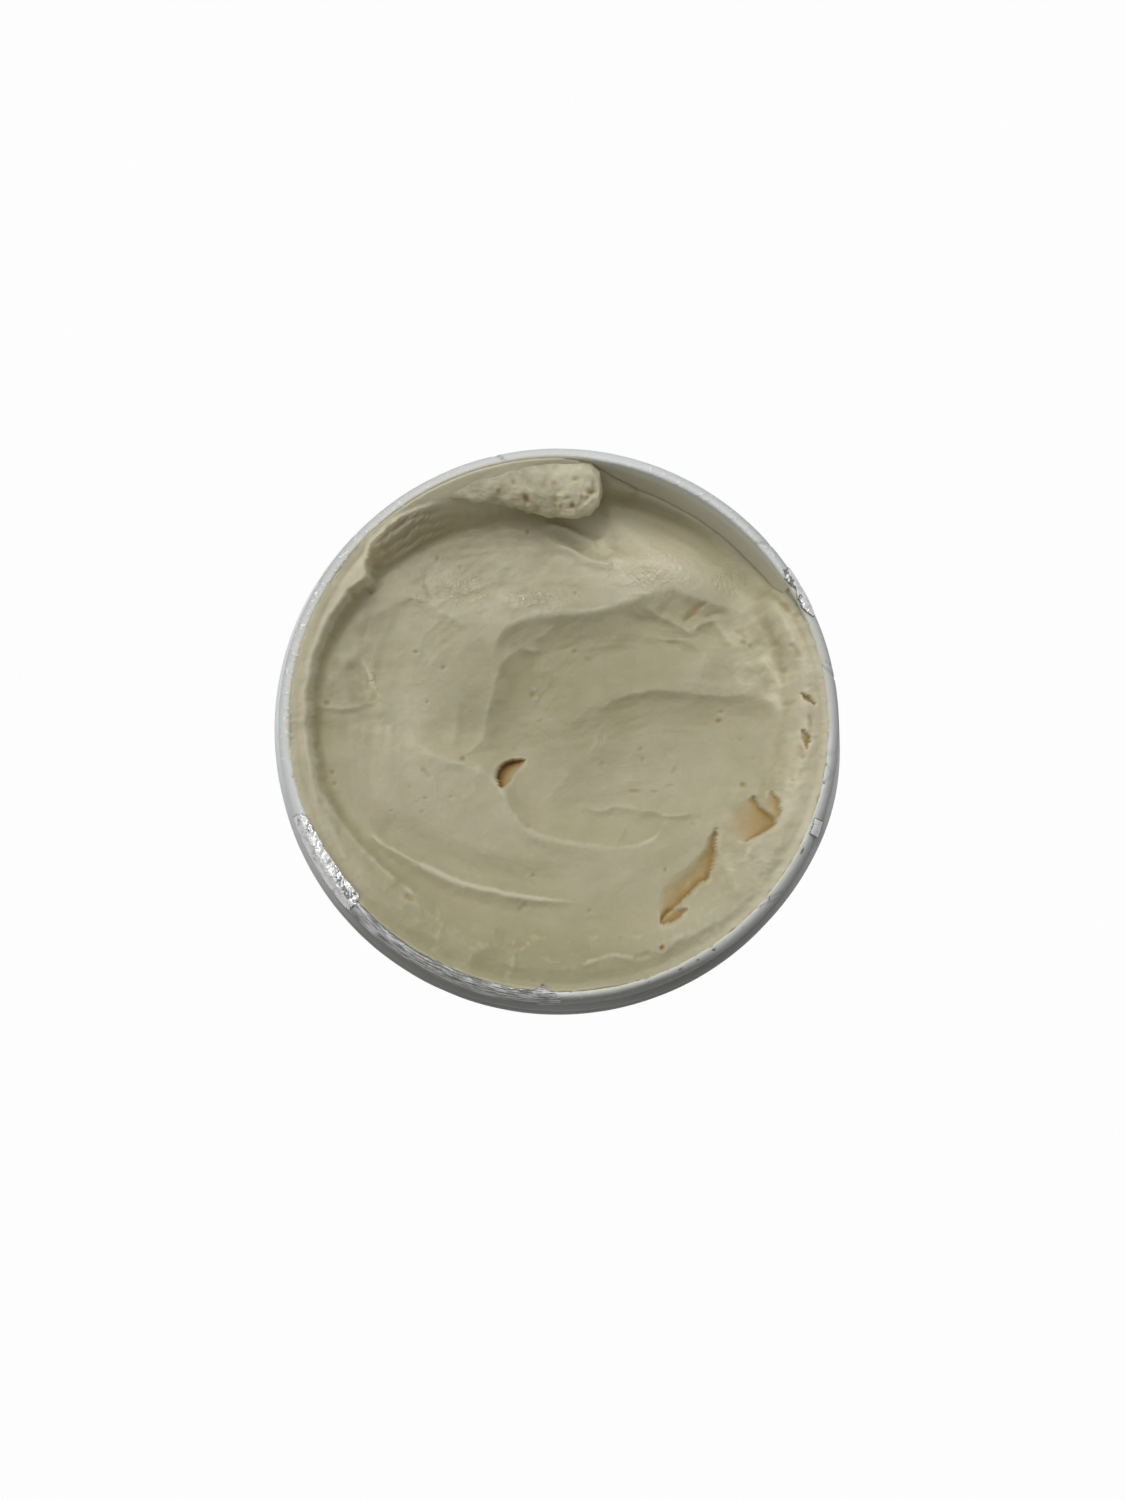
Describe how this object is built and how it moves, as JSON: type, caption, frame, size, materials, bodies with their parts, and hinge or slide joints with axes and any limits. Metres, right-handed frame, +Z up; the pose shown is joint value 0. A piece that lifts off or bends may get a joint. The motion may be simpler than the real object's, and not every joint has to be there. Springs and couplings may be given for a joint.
{
  "type": "shaving soap tub",
  "caption": "Open screw-neck tub of soft shaving soap, lid off, with scooped soap and torn foil seal on its lip; a wet brush is loaded from it.",
  "frame": {"origin": "centre of the foot ring, on the surface that the tub stands on", "axes": "+Z up along the bore, out of the mouth; +Y towards the lump of soap on the wall; +X to the right of it seen from above"},
  "size_m": [0.0902, 0.0902, 0.0442],
  "materials": {
    "tub_plastic": "satin white moulded polypropylene",
    "soap": "soft cream soap, moist sheen",
    "foil": "crinkled bright foil",
    "foil_backing": "dull streaked residue"
  },
  "bodies": {
    "root": {"tub": "tub_plastic", "soap": "soap", "soap_lump": "soap", "foil_strip": "foil", "foil_backing": "foil_backing", "foil_scrap": "foil", "foil_fleck": "foil"}
  },
  "joints": []
}
